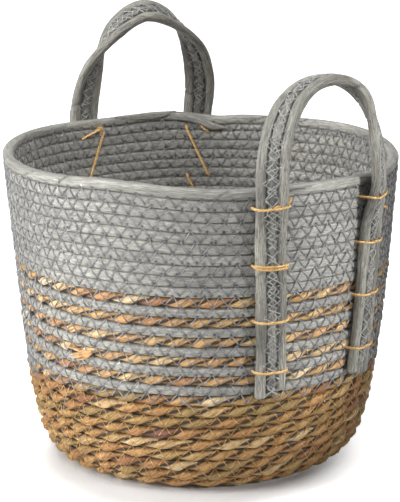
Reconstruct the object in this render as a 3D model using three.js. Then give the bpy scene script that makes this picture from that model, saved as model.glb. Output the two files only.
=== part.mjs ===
// A round open basket, coiled from rope, with two sewn strap handles that stand up from the rim.
// A natural rope winds out from the middle of the base, over the heel and up the lower wall.
// A thinner natural rope and a grey cord then climb side by side as stripes, and the grey cord
// goes on alone to a rim cord. Each handle is a strap of three grey cords, whose two legs lie
// against the wall outside and are held by short ties of twine that pass through the wall.
// Millimetres, +Z up. The origin is on the floor under the middle of the base.
// Azimuth is counted from the front, -Y, towards the right, +X.

import * as THREE from 'three';

// Basket shape
const rimRadius = 190;
const wallHeight = 293;
const heelRadius = 158.5;
const heelHeight = 26;
const baseRadius = 129;
const bellyDepth = 6;
const bellyLowness = 0.6;

// Ropes of the wall and the base
const naturalRopeHeight = 11.2;
const naturalRopeThickness = 10.6;
const stripeRopeHeight = 8.7;
const stripeRopeThickness = 9.2;
const greyCordHeight = 9.95;
const greyCordThickness = 9.4;
const rimCordHeight = 9.6;
const rimCordThickness = 10;
const stripeFloorHeight = 100;
const stripeBandHeight = 96;
const spliceAzimuth = -66;
const rowClearance = 0.8;
const touchClearance = 0.3;
const stepsPerTurn = 24;
const taperSteps = 8;
const taperedEnd = 0.35;

// Straps and their ties
const cordDiameter = 9;
const cordSpacing = 9.3;
const strapSeat = 9;
const peelDepth = 50;
const legFootHeight = 99;
const knuckleHeight = 18;
const knuckleRadius = 17;
const knuckleClearance = 0.6;
const twineDiameter = 2.5;
const twineOverhang = 1.8;
const twineSlack = 0.6;
const twineLead = 3;
const runSpread = 7.5;
const archSteps = 24;
const legSteps = 8;
const tieSteps = 16;
const runSteps = 6;
const cordSides = 6;
const twineSides = 4;

const handles = [
  {
    name: 'front_handle',
    azimuth: 35.2,
    halfSpread: 17.6,
    archHeight: 87.5,
    legReach: 43,
    crownReach: 46,
    crownShift: 11,
    archLean: -14,
    rimTurn: 54,
    crownTurn: -8,
    turnHeight: 97,
    legs: {
      left: { side: -1, drift: 2.3, tieDepths: [15, 70, 121, 169] },
      right: { side: 1, drift: 0.8, tieDepths: [18, 62, 112, 164] },
    },
  },
  {
    name: 'back_handle',
    azimuth: 199.2,
    halfSpread: 19.6,
    archHeight: 110,
    legReach: 88,
    crownReach: 14,
    crownShift: 2,
    archLean: -24,
    rimTurn: 62,
    crownTurn: -30,
    turnHeight: 113,
    legs: {
      left: { side: -1, drift: 0, tieDepths: [14, 64, 115, 163] },
      right: { side: 1, drift: 0, tieDepths: [14, 64, 115, 163] },
    },
  },
];

const finishes = {
  natural: { color: 0xb98a52, roughness: 0.85, metalness: 0 },
  stripe: { color: 0xc79a63, roughness: 0.85, metalness: 0 },
  grey: { color: 0x8d8c88, roughness: 0.9, metalness: 0 },
  rim: { color: 0x989792, roughness: 0.9, metalness: 0 },
  strap: { color: 0x83827e, roughness: 0.9, metalness: 0 },
  twine: { color: 0xd2a668, roughness: 0.8, metalness: 0 },
};

const basket = new THREE.Group();

const radians = (degrees) => THREE.MathUtils.degToRad(degrees);
const stepAngle = 360 / stepsPerTurn;
const slotOf = (index) => THREE.MathUtils.euclideanModulo(index, stepsPerTurn);

// A direction away from the basket's middle axis, level with the floor.
function radial(azimuth) {
  return new THREE.Vector3(Math.sin(radians(azimuth)), -Math.cos(radians(azimuth)), 0);
}

// The level direction of growing azimuth.
function tangential(azimuth) {
  return new THREE.Vector3(Math.cos(radians(azimuth)), Math.sin(radians(azimuth)), 0);
}

// Side profile of the wall

// Outer radius at a height between the heel and the rim: a cone with a low belly.
function outerRadius(height) {
  const share = Math.max(0, (height - heelHeight) / (wallHeight - heelHeight));
  const cone = THREE.MathUtils.lerp(heelRadius, rimRadius, share);
  return cone + bellyDepth * Math.sin(Math.PI * Math.min(share, 1) ** bellyLowness);
}

// The line that the rope centres follow, from the axis out along the base and up the wall.
function ropeMeridian() {
  const inset = naturalRopeThickness / 2;
  const heelTop = new THREE.Vector2(heelRadius - inset, heelHeight);
  const wallPoints = [heelTop];
  const wallSpans = 8;
  for (let span = 1; span <= wallSpans; span += 1) {
    const height = THREE.MathUtils.lerp(heelHeight, wallHeight, span / wallSpans);
    wallPoints.push(new THREE.Vector2(outerRadius(height) - inset, height));
  }
  // The heel's curve leaves the base level and meets the wall at the wall's own slope.
  const flare = (wallPoints[1].x - heelTop.x) / (wallPoints[1].y - heelTop.y);
  const corner = new THREE.Vector2(heelTop.x - flare * (heelTop.y - inset), inset);
  const baseEnd = new THREE.Vector2(baseRadius, inset);
  const line = new THREE.CurvePath();
  line.add(new THREE.LineCurve(new THREE.Vector2(0, inset), baseEnd));
  line.add(new THREE.QuadraticBezierCurve(baseEnd, corner, heelTop));
  line.add(new THREE.SplineCurve(wallPoints));
  return line;
}

const meridian = ropeMeridian();
const meridianLength = meridian.getLength();

// A point on the meridian at a distance from the axis, pushed out of the wall by an offset.
function meridianPoint(distance, offset) {
  const share = THREE.MathUtils.clamp(distance / meridianLength, 0, 1);
  const probe = 0.001;
  const before = meridian.getPoint(Math.max(share - probe, 0));
  const after = meridian.getPoint(Math.min(share + probe, 1));
  const along = after.sub(before).normalize();
  return meridian.getPoint(share).add(new THREE.Vector2(along.y, -along.x).multiplyScalar(offset));
}

// The distance along the meridian at which it reaches a height.
function distanceAtHeight(height) {
  let low = baseRadius;
  let high = meridianLength;
  for (let turn = 0; turn < 40; turn += 1) {
    const middle = (low + high) / 2;
    if (meridianPoint(middle, 0).y < height) {
      low = middle;
    } else {
      high = middle;
    }
  }
  return low;
}

// Laying the ropes: each step of rope goes on top of what already lies at its azimuth

// The base's last turn winds outwards, so its edge grows by one rope over a turn.
const piled = Array.from({ length: stepsPerTurn }, (_, slot) => (
  baseRadius - naturalRopeHeight + (naturalRopeHeight * slot) / stepsPerTurn
));
const baseEdge = [...piled];

function newRope(height, thickness, rings = []) {
  return { height, thickness, rings };
}

function layStep(rope, index, share) {
  const slot = slotOf(index);
  const height = rope.height * share;
  rope.rings.push({ index, start: piled[slot], height, share });
  piled[slot] += height;
}

function stepsFor(distance, rise) {
  return Math.round((stepsPerTurn * distance) / rise);
}

function taper(step) {
  return THREE.MathUtils.lerp(taperedEnd, 1, Math.min(step / taperSteps, 1));
}

// A rope that goes on from the end of another starts face to face with it.
function continuing(height, thickness, previous) {
  const last = previous.rings[previous.rings.length - 1];
  return newRope(height, thickness, [{ ...last, height, splice: true }]);
}

const stripeFloor = distanceAtHeight(stripeFloorHeight);
const lowerSteps = stepsFor(stripeFloor - baseRadius + naturalRopeHeight, naturalRopeHeight);
const stripeSteps = stepsFor(stripeBandHeight, greyCordHeight + stripeRopeHeight) + stepsFor(0.15, 1);

const lowerRope = newRope(naturalRopeHeight, naturalRopeThickness);
for (let index = 0; index <= lowerSteps; index += 1) {
  layStep(lowerRope, index, 1);
}

const greyCord = continuing(greyCordHeight, greyCordThickness, lowerRope);
const stripeRope = newRope(stripeRopeHeight, stripeRopeThickness);
let cursor = lowerSteps + 1;
for (let step = 0; step < stripeSteps; step += 1) {
  layStep(greyCord, cursor, 1);
  layStep(stripeRope, cursor, Math.min(taper(step), taper(stripeSteps - 1 - step)));
  cursor += 1;
}

const bandTop = piled.reduce((sum, value) => sum + value, 0) / stepsPerTurn;
const upperSteps = stepsFor(meridianLength - rimCordHeight - bandTop, greyCordHeight) + taperSteps / 2;
for (let step = 0; step < upperSteps; step += 1) {
  layStep(greyCord, cursor, taper(upperSteps - 1 - step));
  cursor += 1;
}

const rimCord = newRope(rimCordHeight, rimCordThickness);
for (let step = 0; step <= stepsPerTurn; step += 1) {
  const slot = slotOf(cursor + step);
  rimCord.rings.push({ index: cursor + step, start: piled[slot], height: rimCordHeight, share: 1 });
}

// The wall is pulled level: every azimuth's rows are drawn out by the same share, up to the rim.
const drawn = piled.map((value) => (meridianLength - baseRadius) / (value + rimCordHeight - baseRadius));

function levelled(distance, index) {
  if (distance < baseRadius) {
    return distance;
  }
  return baseRadius + (distance - baseRadius) * drawn[slotOf(index)];
}

function azimuthOf(index) {
  return spliceAzimuth + (lowerSteps - index) * stepAngle;
}

// Solids from rings of points

function solidFromRings(rings) {
  const sides = rings[0].length;
  const points = rings.flat();
  const faces = [];
  const middleOf = (ring) => ring.reduce((sum, point) => sum.add(point), new THREE.Vector3())
    .divideScalar(sides);
  points.push(middleOf(rings[0]), middleOf(rings[rings.length - 1]));
  const startMiddle = points.length - 2;
  const endMiddle = points.length - 1;
  const endRing = (rings.length - 1) * sides;
  for (let side = 0; side < sides; side += 1) {
    const next = (side + 1) % sides;
    for (let ring = 0; ring < rings.length - 1; ring += 1) {
      const here = ring * sides;
      const there = here + sides;
      faces.push([here + side, here + next, there + next]);
      faces.push([here + side, there + next, there + side]);
    }
    faces.push([startMiddle, next, side]);
    faces.push([endMiddle, endRing + side, endRing + next]);
  }
  const volume = faces.reduce((sum, [a, b, c]) => (
    sum + points[a].dot(new THREE.Vector3().crossVectors(points[b], points[c]))
  ), 0);
  const facingOut = volume > 0 ? faces : faces.map(([a, b, c]) => [a, c, b]);
  const geometry = new THREE.BufferGeometry().setFromPoints(points);
  geometry.setIndex(facingOut.flat());
  geometry.computeVertexNormals();
  return geometry;
}

function addPiece(name, geometry, finish) {
  const mesh = new THREE.Mesh(geometry, new THREE.MeshStandardMaterial(finishes[finish]));
  mesh.name = name;
  basket.add(mesh);
}

// The base, sewn flat. Its edge steps out where the wall's lowest rope butts against it.

function baseSolid() {
  const corners = baseEdge.map((edge, slot) => ({ azimuth: azimuthOf(slot), edge }));
  const buttGap = THREE.MathUtils.radToDeg(touchClearance / baseRadius);
  corners.push({ azimuth: azimuthOf(stepsPerTurn) + buttGap, edge: baseRadius });
  const outline = new THREE.Shape(corners.map(({ azimuth, edge }) => {
    const corner = radial(azimuth).multiplyScalar(edge - rowClearance / 2);
    return new THREE.Vector2(corner.x, corner.y);
  }));
  return new THREE.ExtrudeGeometry(outline, { depth: naturalRopeThickness, bevelEnabled: false });
}

addPiece('base_coil', baseSolid(), 'natural');

// Coils of the wall

// Corners of a rope's section, as shares of half its thickness and half its height, so that the
// rows lie flat on each other.
const rowSection = [[1, 0], [0.5, 1], [-0.5, 1], [-1, 0], [-0.5, -1], [0.5, -1]];

function coilRing(rope, ring) {
  const middle = ring.start + ring.height / 2;
  const halfHeight = (ring.height - rowClearance) / 2;
  const halfThickness = (rope.thickness / 2) * (0.5 + 0.5 * ring.share);
  return rowSection.map(([out, up]) => {
    const distance = levelled(middle + up * halfHeight, ring.index);
    const point = meridianPoint(distance, out * halfThickness);
    const gap = ring.splice ? THREE.MathUtils.radToDeg(touchClearance / point.x) : 0;
    const place = radial(azimuthOf(ring.index) - gap).multiplyScalar(point.x);
    place.z = point.y;
    return place;
  });
}

// The least gap between a coil's neighbouring turns, measured on the facing corners.
function leastGap(rings) {
  let least = Infinity;
  for (let index = 0; index + stepsPerTurn < rings.length; index += 1) {
    for (const lower of rings[index]) {
      for (const upper of rings[index + stepsPerTurn]) {
        least = Math.min(least, lower.distanceTo(upper));
      }
    }
  }
  return least;
}

function addCoil(name, rope, finish) {
  const rings = rope.rings.map((ring) => coilRing(rope, ring));
  addPiece(name, solidFromRings(rings), finish);
  if (rings.length > stepsPerTurn + 1) {
    console.log(`${name}: least gap between turns ${leastGap(rings).toFixed(2)} mm`);
  }
}

// The rim cord is one turn, whose two ends meet.
const rimEnd = rimCord.rings[rimCord.rings.length - 1];
rimCord.rings[0].splice = true;
rimEnd.index = rimCord.rings[0].index + stepsPerTurn;

addCoil('lower_wall_coil', lowerRope, 'natural');
addCoil('stripe_rope_coil', stripeRope, 'stripe');
addCoil('grey_wall_coil', greyCord, 'grey');
addCoil('rim_cord', rimCord, 'rim');

// The wall's flat steps between two rings lie a little inside the full circle.
function facetShare(azimuth) {
  const half = stepAngle / 2;
  const offset = THREE.MathUtils.euclideanModulo(azimuth - spliceAzimuth, stepAngle) - half;
  return Math.cos(radians(half)) / Math.cos(radians(offset));
}

function widestFacet(azimuth, halfSpan) {
  const samples = 12;
  let widest = 0;
  for (let sample = -samples; sample <= samples; sample += 1) {
    widest = Math.max(widest, facetShare(azimuth + (halfSpan * sample) / samples));
  }
  return widest;
}

// Straps

const cordRadius = cordDiameter / 2;
const strapHalfWidth = cordSpacing + cordRadius;
const lieOffset = cordRadius + touchClearance;
const cordNames = { inner: 1, middle: 0, outer: -1 };
const smooth = (share) => THREE.MathUtils.smoothstep(share, 0, 1);

// The strap's middle line, its outer face's direction and its inner edge's direction at the place
// from 0, where it leaves the rim on the left, to 1, where it comes back to the rim on the right.
function archFrame(handle, place) {
  const reach = rimRadius + strapSeat;
  const halfChord = reach * Math.sin(radians(handle.halfSpread));
  const chordDistance = reach * Math.cos(radians(handle.halfSpread));
  const crown = new THREE.Vector2(handle.crownShift, handle.archHeight);
  const side = place < 0.5 ? -1 : 1;
  const branch = new THREE.CubicBezierCurve(
    new THREE.Vector2(side * halfChord, 0),
    new THREE.Vector2(side * halfChord, handle.legReach),
    new THREE.Vector2(crown.x + side * handle.crownReach, crown.y),
    crown,
  );
  const share = place < 0.5 ? 2 * place : 2 * (1 - place);
  const flat = branch.getPoint(share);
  const slope = branch.getTangent(share).multiplyScalar(-side);
  const across = tangential(handle.azimuth);
  const out = radial(handle.azimuth);
  const up = new THREE.Vector3(0, 0, 1);
  const lean = handle.archLean * (flat.y / handle.archHeight) ** 1.5;
  const middle = new THREE.Vector3()
    .addScaledVector(across, flat.x)
    .addScaledVector(out, chordDistance + lean)
    .addScaledVector(up, wallHeight + flat.y);
  const along = new THREE.Vector3().addScaledVector(across, slope.x).addScaledVector(up, slope.y);
  const outside = new THREE.Vector3().addScaledVector(across, -slope.y).addScaledVector(up, slope.x);
  const twist = smooth(flat.y / handle.turnHeight) ** 2;
  const turn = radians(THREE.MathUtils.lerp(handle.rimTurn, handle.crownTurn, twist));
  const face = outside.multiplyScalar(Math.cos(turn)).addScaledVector(out, Math.sin(turn));
  const edge = new THREE.Vector3().crossVectors(along, face).normalize();
  return { middle, along, face, edge };
}

// Below the rim a leg drifts a little to one side.
function legAzimuth(handle, leg, height) {
  const share = (wallHeight - height) / (wallHeight - legFootHeight);
  return handle.azimuth + leg.side * handle.halfSpread + leg.drift * share;
}

// The same for a leg, at a height below the rim. It lies on the wall and peels off near the rim.
function legFrame(handle, leg, height) {
  const { side } = leg;
  const azimuth = legAzimuth(handle, leg, height);
  const peel = smooth((height - (wallHeight - peelDepth)) / peelDepth);
  const halfSpan = THREE.MathUtils.radToDeg(strapHalfWidth / rimRadius);
  const seat = outerRadius(height) * widestFacet(azimuth, halfSpan) + lieOffset;
  const reach = THREE.MathUtils.lerp(seat, rimRadius + strapSeat, peel);
  const turn = radians(THREE.MathUtils.lerp(90 - handle.halfSpread, handle.rimTurn, peel));
  const face = tangential(handle.azimuth).multiplyScalar(side * Math.cos(turn))
    .addScaledVector(radial(handle.azimuth), Math.sin(turn));
  const along = new THREE.Vector3(0, 0, -side);
  const edge = new THREE.Vector3().crossVectors(along, face).normalize();
  const middle = radial(azimuth).multiplyScalar(reach).setZ(height);
  return { middle, along, face, edge };
}

// The line about which the free arch bends, level and in the plane of the two legs.
function knuckleOf(handle) {
  const reach = (rimRadius + strapSeat) * Math.cos(radians(handle.halfSpread));
  const lean = handle.archLean * (knuckleHeight / handle.archHeight) ** 1.5;
  return radial(handle.azimuth).multiplyScalar(reach + lean).setZ(wallHeight + knuckleHeight);
}

function cordRing(frame, offset) {
  const centre = frame.middle.clone().addScaledVector(frame.edge, offset * cordSpacing);
  const ring = [];
  for (let corner = 0; corner < cordSides; corner += 1) {
    const angle = (2 * Math.PI * corner) / cordSides;
    ring.push(centre.clone()
      .addScaledVector(frame.edge, cordRadius * Math.cos(angle))
      .addScaledVector(frame.face, cordRadius * Math.sin(angle)));
  }
  return ring;
}

// A cord's end is hollowed or rounded about the bending line, so that it turns clear of its other half.
function endOnKnuckle(ring, handle, radius) {
  const knuckle = knuckleOf(handle);
  const out = radial(handle.azimuth);
  return ring.map((point) => {
    const aside = point.clone().sub(knuckle).dot(out);
    return point.clone().setZ(knuckle.z - Math.sqrt(Math.max(radius ** 2 - aside ** 2, 0)));
  });
}

function addArchCord(handle, cordName) {
  const offset = cordNames[cordName];
  const rings = [];
  for (let step = 0; step <= archSteps; step += 1) {
    const ends = step === 0 || step === archSteps;
    const share = ends ? 0 : THREE.MathUtils.lerp(0.055, 0.945, (step - 1) / (archSteps - 2));
    const place = step === archSteps ? 1 : share;
    const ring = cordRing(archFrame(handle, place), offset);
    rings.push(ends ? endOnKnuckle(ring, handle, knuckleRadius) : ring);
  }
  addPiece(`${handle.name}_arch_${cordName}_cord`, solidFromRings(rings), 'strap');
}

function addLegCord(handle, sideName, cordName) {
  const leg = handle.legs[sideName];
  const rings = [];
  for (let step = 0; step <= legSteps; step += 1) {
    const height = THREE.MathUtils.lerp(legFootHeight, wallHeight - touchClearance, step / legSteps);
    const ring = cordRing(legFrame(handle, leg, height), cordNames[cordName]);
    const top = step === legSteps;
    rings.push(top ? endOnKnuckle(ring, handle, knuckleRadius + knuckleClearance) : ring);
  }
  addPiece(`${handle.name}_${sideName}_leg_${cordName}_cord`, solidFromRings(rings), 'strap');
}

// Twine

function twineSolid(points, steps) {
  const circle = new THREE.Shape();
  for (let corner = 0; corner < twineSides; corner += 1) {
    const angle = (2 * Math.PI * corner) / twineSides;
    const x = (twineDiameter / 2) * Math.cos(angle);
    const y = (twineDiameter / 2) * Math.sin(angle);
    if (corner === 0) {
      circle.moveTo(x, y);
    } else {
      circle.lineTo(x, y);
    }
  }
  const path = new THREE.CatmullRomCurve3(points, false, 'centripetal');
  return new THREE.ExtrudeGeometry(circle, { steps, bevelEnabled: false, extrudePath: path });
}

// A point above the grey rows' outer face, at the azimuth of a given place.
function aboveWall(place, height, rise) {
  const azimuth = THREE.MathUtils.radToDeg(Math.atan2(place.x, -place.y));
  const face = outerRadius(height) - (naturalRopeThickness - greyCordThickness) / 2;
  return radial(azimuth).multiplyScalar(face * facetShare(azimuth) + rise).setZ(height);
}

// A tie comes out of the wall beside a leg, crosses the strap and goes back in on the other side.
function addTie(handle, sideName, number) {
  const leg = handle.legs[sideName];
  const height = wallHeight - leg.tieDepths[number];
  const frame = legFrame(handle, leg, height);
  const beside = strapHalfWidth + twineOverhang;
  const above = cordRadius + twineDiameter / 2 + twineSlack;
  const over = (across, rise) => frame.middle.clone()
    .addScaledVector(frame.edge, across)
    .addScaledVector(frame.face, rise);
  const round = above * Math.SQRT1_2;
  const points = [
    aboveWall(over(-beside, 0), height, touchClearance),
    aboveWall(over(-beside, 0), height, twineLead),
    over(-cordSpacing - above, 0),
    over(-cordSpacing - round, round),
    over(-cordSpacing, above),
    over(0, above),
    over(cordSpacing, above),
    over(cordSpacing + round, round),
    over(cordSpacing + above, 0),
    aboveWall(over(beside, 0), height, twineLead),
    aboveWall(over(beside, 0), height, touchClearance),
  ];
  addPiece(`${handle.name}_${sideName}_tie_${number + 1}`, twineSolid(points, tieSteps), 'twine');
}

// Inside the wall the twine runs from one tie down to the next, slanting out to its leg's own side.
function addInnerRun(handle, sideName, upper) {
  const leg = handle.legs[sideName];
  const wall = (naturalRopeThickness + greyCordThickness) / 2;
  const rise = touchClearance + twineDiameter / 2;
  const points = [];
  for (let step = 0; step <= runSteps; step += 1) {
    const share = step / runSteps;
    const depth = THREE.MathUtils.lerp(leg.tieDepths[upper], leg.tieDepths[upper + 1], share);
    const height = wallHeight - depth;
    const aslant = legAzimuth(handle, leg, height) + leg.side * runSpread * (share - 0.5);
    const inner = (outerRadius(height) - wall) * facetShare(aslant) - rise;
    points.push(radial(aslant).multiplyScalar(inner).setZ(height));
  }
  addPiece(`${handle.name}_${sideName}_inner_run_${upper / 2 + 1}`, twineSolid(points, runSteps), 'twine');
}

for (const handle of handles) {
  for (const cordName of Object.keys(cordNames)) {
    addArchCord(handle, cordName);
    for (const sideName of Object.keys(handle.legs)) {
      addLegCord(handle, sideName, cordName);
    }
  }
  for (const sideName of Object.keys(handle.legs)) {
    handle.legs[sideName].tieDepths.forEach((_, number) => addTie(handle, sideName, number));
    addInnerRun(handle, sideName, 0);
    addInnerRun(handle, sideName, 2);
  }
}

export default basket;
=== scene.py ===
# A round open basket, coiled from twisted leaf rope and stitched grey cord, with two strap handles.
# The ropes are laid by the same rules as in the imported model, only finer: every row, ply, stitch and
# tie is a mesh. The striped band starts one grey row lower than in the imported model, and its grey
# rows are less high than its natural ones. Sizes are millimetres until a mesh is made. Azimuth is
# counted from the front, -Y, towards the right, +X, and "distance" runs from the axis out along the
# base and up the wall. An "offset" is how far a point stands out of the line of the rope centres.

import bpy
import numpy as np
from mathutils import Matrix, Vector


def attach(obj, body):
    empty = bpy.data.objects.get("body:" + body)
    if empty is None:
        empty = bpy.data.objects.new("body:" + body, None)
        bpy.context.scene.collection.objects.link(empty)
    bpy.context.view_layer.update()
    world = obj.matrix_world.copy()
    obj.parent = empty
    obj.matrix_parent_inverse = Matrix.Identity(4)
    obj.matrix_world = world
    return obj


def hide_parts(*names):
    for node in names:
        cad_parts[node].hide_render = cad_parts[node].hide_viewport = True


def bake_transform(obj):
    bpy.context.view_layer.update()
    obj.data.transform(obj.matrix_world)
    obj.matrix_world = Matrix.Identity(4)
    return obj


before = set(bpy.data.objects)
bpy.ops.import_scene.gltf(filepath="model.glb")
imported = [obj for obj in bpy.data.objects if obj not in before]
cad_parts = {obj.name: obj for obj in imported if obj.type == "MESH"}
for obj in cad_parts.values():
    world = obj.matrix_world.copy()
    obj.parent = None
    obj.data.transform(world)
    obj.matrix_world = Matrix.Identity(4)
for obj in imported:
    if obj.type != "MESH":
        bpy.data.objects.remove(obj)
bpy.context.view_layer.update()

MM = 0.001
UP = np.array([0, 0, 1.0])

# Basket shape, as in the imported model
RIM_RADIUS = 190
WALL_HEIGHT = 293
HEEL_RADIUS = 158.5
HEEL_HEIGHT = 26
BASE_RADIUS = 129
BELLY_DEPTH = 6
BELLY_LOWNESS = 0.6

# Ropes
NATURAL_HEIGHT = 11.2
NATURAL_THICKNESS = 10.6
STRIPE_HEIGHT = 10.05
STRIPE_THICKNESS = 9.2
GREY_HEIGHT = 9.95
BAND_GREY_HEIGHT = 8.6
GREY_THICKNESS = 9.4
RIM_HEIGHT = 9.6
RIM_THICKNESS = 10
STRIPE_FLOOR = 91.3
STRIPE_BAND = 96
SPLICE_AZIMUTH = -66
CAD_TURN = 24
TURN = 1440
TAPER_STEPS = 8 * TURN // CAD_TURN
TAPERED_END = 0.35
EDGE_WINDOW = 61
NATURAL_PITCH = 51
STRIPE_PITCH = 51
PLY_STEM = 0.46
PLY_NEAR = 0.50
PLY_WIDE = 0.63
PLY_PUFF = 0.27
PLY_CORE = 0.9
PLY_SHIFT = 97
PLY_SWAY = 0.45
PLY_GIRTH_SPREAD = 0.045
PLY_GIRTH_WINDOW = 9
PLY_DENT = 0.22
PLY_RIDGES = ((5, 0.045, 1.5, 90), (8, 0.03, 2.5, 60))

# Straps and twine
CORD_DIAMETER = 9
STRAP_SEAT = 9
PEEL_DEPTH = 50
LEG_FOOT = 99
LOWEST_FOOT = 96
TWINE_DIAMETER = 2.5
RUN_DIAMETER = 2.9
RUN_SPREAD = 7.5
WALL_DEPTH = (NATURAL_THICKNESS + GREY_THICKNESS) / 2

# Each handle is a curve over its two legs, by the reach of its control points. Its crown leans out of
# the plane of the legs, and its face turns from the rim to the crown. Tie depths are below the rim,
# feet above the floor. A splice has a cord, a run along it and a slant.
HANDLES = (
    dict(
        name="front_handle", azimuth=35.2, half_spread=17.6, height=87.5, spacing=9.3,
        leg_reach=43, crown_reach=46, crown_shift=11,
        lean=-14, rim_turn=54, crown_turn=-8, turn_height=97,
        legs=dict(
            left=dict(
                side=-1, drift=2.3, tie_depths=(15, 70, 121, 169), feet=(96, 98, 104),
                tilts=(0.08, -0.02, 0.02, 0.02), doubled=(1,), run_shift=0, twist=2, bulge=0,
            ),
            right=dict(
                side=1, drift=0.8, tie_depths=(18, 62, 112, 164), feet=(97, 99, 101),
                tilts=(-0.05, 0.03, 0, -0.01), doubled=(), run_shift=0, twist=2, bulge=0,
            ),
        ),
        splices=(("inner", 350, 4), ("middle", 369, 5), ("outer", 380, 4), ("outer", 118, 5)),
    ),
    dict(
        name="back_handle", azimuth=199.2, half_spread=18.3, height=110, spacing=10.2,
        leg_reach=88, crown_reach=14, crown_shift=2,
        lean=-24, rim_turn=80, crown_turn=-30, turn_height=113,
        legs=dict(
            left=dict(
                side=-1, drift=0, tie_depths=(14, 64, 115, 163), feet=(98, 99, 101),
                tilts=(0.06, -0.05, 0.07, 0.04), doubled=(2,), run_shift=0.2, twist=2.2, bulge=14,
            ),
            right=dict(
                side=1, drift=0, tie_depths=(14, 64, 115, 163), feet=(100, 99, 98),
                tilts=(-0.05, 0.07, -0.04, 0.05), doubled=(), run_shift=0.5, twist=1.5, bulge=-6,
            ),
        ),
        splices=(("inner", 221, 4), ("middle", 197, 5), ("outer", 470, 4)),
    ),
)

random = np.random.default_rng(7)


def smooth(share):
    share = np.clip(share, 0, 1)
    return share * share * (3 - 2 * share)


def mix(low, high, share):
    return low + (high - low) * share


def radial(azimuth):
    turn = np.radians(azimuth)
    return np.stack([np.sin(turn), -np.cos(turn), 0 * turn], -1)


def tangential(azimuth):
    turn = np.radians(azimuth)
    return np.stack([np.cos(turn), np.sin(turn), 0 * turn], -1)


def unit(vectors):
    return vectors / np.maximum(np.linalg.norm(vectors, axis=-1, keepdims=True), 1e-9)


# Points at an azimuth, a distance from the axis and a height
def upright(azimuth, radius, height):
    return radial(azimuth) * np.asarray(radius)[..., None] + UP * np.asarray(height)[..., None]


# The angles at the corners of a section
def corner_angles(sides):
    return 2 * np.pi * np.arange(sides) / sides


# The length of a path up to each of its points
def run_along(path):
    return np.concatenate([[0], np.cumsum(np.linalg.norm(np.diff(path, axis=0), axis=1))])


# The sideways and the outward direction at each point of a path
def frame_along(path, outward):
    along = unit(np.gradient(path, axis=0))
    aside = unit(np.cross(along, outward))
    return aside, np.cross(aside, along)


def resampled(places, run, points):
    return np.stack([np.interp(places, run, column) for column in points.T], 1)


def moving_mean(values, window):
    padded = np.pad(values, window // 2, mode="edge")
    return np.convolve(padded, np.ones(window) / window, "valid")


def eased(points, window):
    return np.stack([moving_mean(column, window) for column in points.T], 1)


# Slow waves that keep hand-made rows from being perfectly even. Each call draws its own phases.
def waves(places, length, count=5):
    total = np.zeros_like(places, dtype=float)
    for _ in range(count):
        total += np.sin(2 * np.pi * (places / (length * random.uniform(0.6, 1.7)) + random.random()))
    return total / np.sqrt(count / 2)


# Lengthwise ridges of a strand, by the angle around it: count, height, drift and length of the drift
def ridged(angle, run, ridges):
    total = 1
    for count, height, drift, length in ridges:
        total = total + height * np.sin(count * angle + drift * waves(run, length)[:, None])
    return total


# Side profile


def outer_radius(height):
    share = np.clip((height - HEEL_HEIGHT) / (WALL_HEIGHT - HEEL_HEIGHT), 0, None)
    cone = mix(HEEL_RADIUS, RIM_RADIUS, share)
    return cone + BELLY_DEPTH * np.sin(np.pi * np.minimum(share, 1) ** BELLY_LOWNESS)


def rope_line():
    inset = NATURAL_THICKNESS / 2
    wall_height = np.linspace(HEEL_HEIGHT, WALL_HEIGHT, 200)
    wall = np.stack([outer_radius(wall_height) - inset, wall_height], 1)
    flare = (outer_radius(60) - outer_radius(HEEL_HEIGHT)) / (60 - HEEL_HEIGHT)
    corner = np.array([wall[0, 0] - flare * (HEEL_HEIGHT - inset), inset])
    base_end = np.array([BASE_RADIUS, inset])
    share = np.linspace(0, 1, 60)[:, None]
    heel = (1 - share) ** 2 * base_end + 2 * share * (1 - share) * corner + share**2 * wall[0]
    floor = np.stack([np.linspace(0, BASE_RADIUS, 80), np.full(80, inset)], 1)
    return np.concatenate([floor[:-1], heel[:-1], wall])


LINE = rope_line()
LINE_AT = run_along(LINE)
LINE_LENGTH = LINE_AT[-1]
LINE_ALONG = unit(np.gradient(LINE, axis=0))


# Points in the basket's frame from azimuth, distance up the line and offset out of it.
def wall_points(azimuth, distance, offset):
    radius = np.interp(distance, LINE_AT, LINE[:, 0])
    height = np.interp(distance, LINE_AT, LINE[:, 1])
    along = np.interp(distance, LINE_AT, LINE_ALONG[:, 0]), np.interp(distance, LINE_AT, LINE_ALONG[:, 1])
    over = np.maximum(distance - LINE_LENGTH, 0)
    radius = radius + along[1] * offset + along[0] * over
    height = height - along[0] * offset + along[1] * over
    return upright(azimuth, radius, height)


def distance_at(height):
    up_the_wall = LINE_AT >= BASE_RADIUS
    return float(np.interp(height, LINE[up_the_wall, 1], LINE_AT[up_the_wall]))


# The basket has settled: its rim stands a little higher on the left, its foot a little to the left
# and to the front, and its rows wave. Each swell of the rim has an azimuth, a width in degrees, a
# rise, and the share of the wall's height at which it starts.
LEFT_RISE = 3.5
# Waves around the basket: size in millimetres, count, phase, and how they turn towards the rim
RISE_WAVES = ((0.8, 3, 1, 0), (0.5, 5, 2, 3))
OUT_WAVES = ((0.9, 2, 0.6, 0), (0.6, 4, 2.2, 4))
FOOT_SHIFT = (-2.5, -3, 0)
FOOT_HEIGHT = 160
RIM_SWELLS = (
    (193, 11, 3.2, 0.86),
    (174, 5, -2, 0.86),
    (-25, 15, 3.6, 0.6),
    (10, 11, -1.4, 0.7),
    (128, 26, 3.4, 0.5),
)


def around_the_basket(turn, share, sets):
    total = 0
    for size, count, phase, twist in sets:
        total = total + size * np.sin(count * turn + phase + twist * share)
    return share * total


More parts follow.
